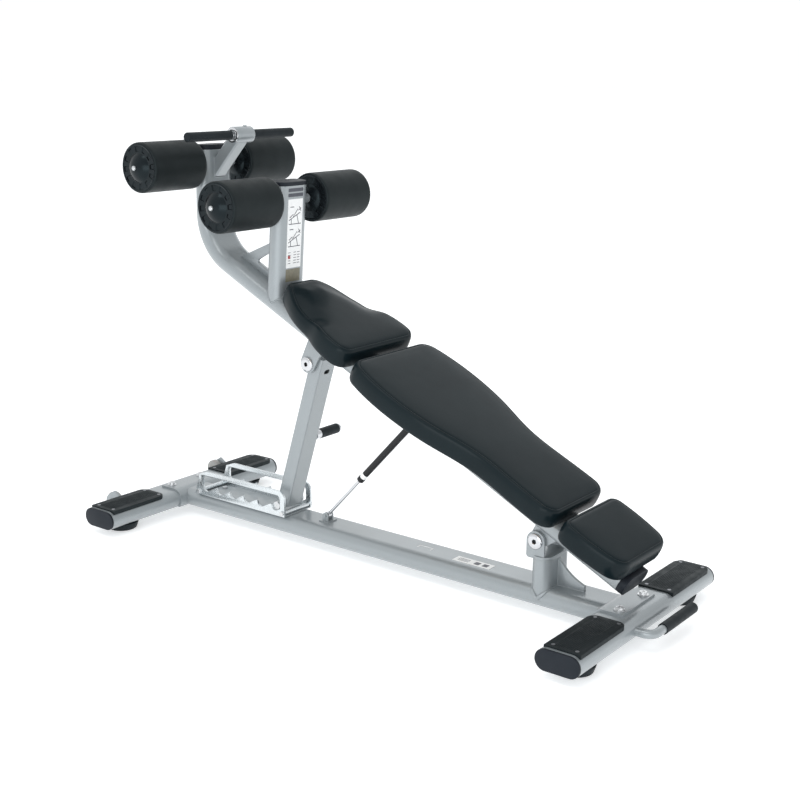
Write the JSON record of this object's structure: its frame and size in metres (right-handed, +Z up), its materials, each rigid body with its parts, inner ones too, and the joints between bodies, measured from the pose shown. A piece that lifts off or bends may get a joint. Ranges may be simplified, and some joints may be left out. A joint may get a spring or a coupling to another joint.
{
  "type": "decline sit up bench",
  "caption": "Decline sit up bench: padded sloping bench on a wide base, foam leg rollers, top hand grip, ratchet ladder with strut, and a gas spring.",
  "frame": {"origin": "on the floor under the middle of the whole bench", "axes": "+X along the base towards the low head end, +Y across the bench, +Z up"},
  "size_m": [1.655, 0.656, 1.095],
  "materials": {
    "frame_paint": "metallic silver powder coat",
    "moulded_black": "fine matt moulding",
    "rubber_black": "soft matt rubber",
    "tread_rubber": "ribbed matt rubber",
    "bright_steel": "zinc plated steel",
    "chrome": "polished chrome",
    "zinc_plate": "bright plated steel",
    "black_steel": "gloss black paint",
    "vinyl": "grained charcoal vinyl",
    "plywood": "raw plywood",
    "roller_foam": "dense skinned foam",
    "hub_plastic": "gloss black moulding",
    "wheel_nylon": "grey nylon"
  },
  "bodies": {
    "base": {"base_beam": "frame_paint", "carry_handle": "frame_paint", "carry_handle_grip": "rubber_black", "frame_bolts": "bright_steel", "front_post": "frame_paint", "front_saddle": "frame_paint", "front_stabilizer": "frame_paint", "front_tread_pads": "tread_rubber", "gas_lower_bracket": "frame_paint", "ladder_cross_bars": "zinc_plate", "ladder_plate_left": "zinc_plate", "ladder_plate_right": "zinc_plate", "ladder_tray": "frame_paint", "pivot_axle": "bright_steel", "pivot_caps": "chrome", "pivot_yoke": "frame_paint", "post_gusset": "frame_paint", "rear_saddle": "frame_paint", "rear_stabilizer": "frame_paint", "rear_tread_pads": "tread_rubber", "rubber_feet": "rubber_black", "stabilizer_end_caps": "moulded_black", "tread_screws": "bright_steel", "wheel_axles": "bright_steel", "wheel_brackets": "frame_paint"},
    "bench": {"bench_beam": "frame_paint", "beam_end_caps": "moulded_black", "lower_mast": "frame_paint", "mast_gusset": "frame_paint", "grip_arm": "frame_paint", "bar_collar": "frame_paint", "grip_bar": "bright_steel", "bar_grips": "rubber_black", "roller_shafts": "frame_paint", "pivot_bracket": "frame_paint", "strut_bracket": "frame_paint", "strut_hinge_bolt": "chrome", "gas_upper_bracket": "frame_paint", "pad_straps": "black_steel", "pad_bolts": "bright_steel", "pad_boards": "plywood", "seat_pad": "vinyl", "back_pad": "vinyl", "head_pad": "vinyl"},
    "strut": {"strut_tube": "frame_paint", "foot_pin": "bright_steel", "lift_handle": "chrome", "lift_handle_grip": "rubber_black"},
    "gas_cylinder": {"gas_cylinder": "black_steel"},
    "gas_rod": {"gas_rod": "chrome"},
    "upper_left_roller": {"roller_core_upper_left": "hub_plastic", "roller_foam_upper_left": "roller_foam"},
    "upper_right_roller": {"roller_core_upper_right": "hub_plastic", "roller_foam_upper_right": "roller_foam"},
    "lower_left_roller": {"roller_core_lower_left": "hub_plastic", "roller_foam_lower_left": "roller_foam"},
    "lower_right_roller": {"roller_core_lower_right": "hub_plastic", "roller_foam_lower_right": "roller_foam"},
    "left_transport_wheel": {"transport_wheel_left": "wheel_nylon"},
    "right_transport_wheel": {"transport_wheel_right": "wheel_nylon"}
  },
  "joints": [
    {"name": "bench_tilt", "type": "hinge", "parent": "base", "child": "bench", "pos_m": [0.4915, 0, 0.183], "axis": [0, -1, 0], "range_deg": [0, 9]},
    {"name": "strut_swing", "type": "hinge", "parent": "bench", "child": "strut", "pos_m": [-0.2165, 0, 0.5], "axis": [0, -1, 0], "range_deg": [-43.5, 0]},
    {"name": "gas_spring_swing", "type": "hinge", "parent": "bench", "child": "gas_cylinder", "pos_m": [0.0985, 0, 0.389], "axis": [0, -1, 0], "range_deg": [-12.7, 0]},
    {"name": "gas_rod_slide", "type": "slide", "parent": "gas_cylinder", "child": "gas_rod", "axis": [0.6787, 0, 0.7344], "range_m": [0, 0.066]},
    {"name": "upper_left_roller_spin", "type": "hinge", "parent": "bench", "child": "upper_left_roller", "pos_m": [-0.5805, 0.172, 0.9935], "axis": [0, 1, 0], "continuous": true},
    {"name": "upper_right_roller_spin", "type": "hinge", "parent": "bench", "child": "upper_right_roller", "pos_m": [-0.5805, -0.172, 0.9935], "axis": [0, 1, 0], "continuous": true},
    {"name": "lower_left_roller_spin", "type": "hinge", "parent": "bench", "child": "lower_left_roller", "pos_m": [-0.31149, 0.172, 0.9125], "axis": [0, 1, 0], "continuous": true},
    {"name": "lower_right_roller_spin", "type": "hinge", "parent": "bench", "child": "lower_right_roller", "pos_m": [-0.31149, -0.172, 0.9125], "axis": [0, 1, 0], "continuous": true},
    {"name": "left_wheel_spin", "type": "hinge", "parent": "base", "child": "left_transport_wheel", "pos_m": [-0.8025, 0.198, 0.048], "axis": [0, 1, 0], "continuous": true},
    {"name": "right_wheel_spin", "type": "hinge", "parent": "base", "child": "right_transport_wheel", "pos_m": [-0.8025, -0.198, 0.048], "axis": [0, 1, 0], "continuous": true}
  ],
  "couplings": [
    {"joint": "strut_swing", "follows": "bench_tilt", "ratio": -4.8},
    {"joint": "gas_spring_swing", "follows": "bench_tilt", "ratio": -1.398},
    {"joint": "gas_rod_slide", "follows": "bench_tilt", "m_per_rad": 0.4155}
  ]
}
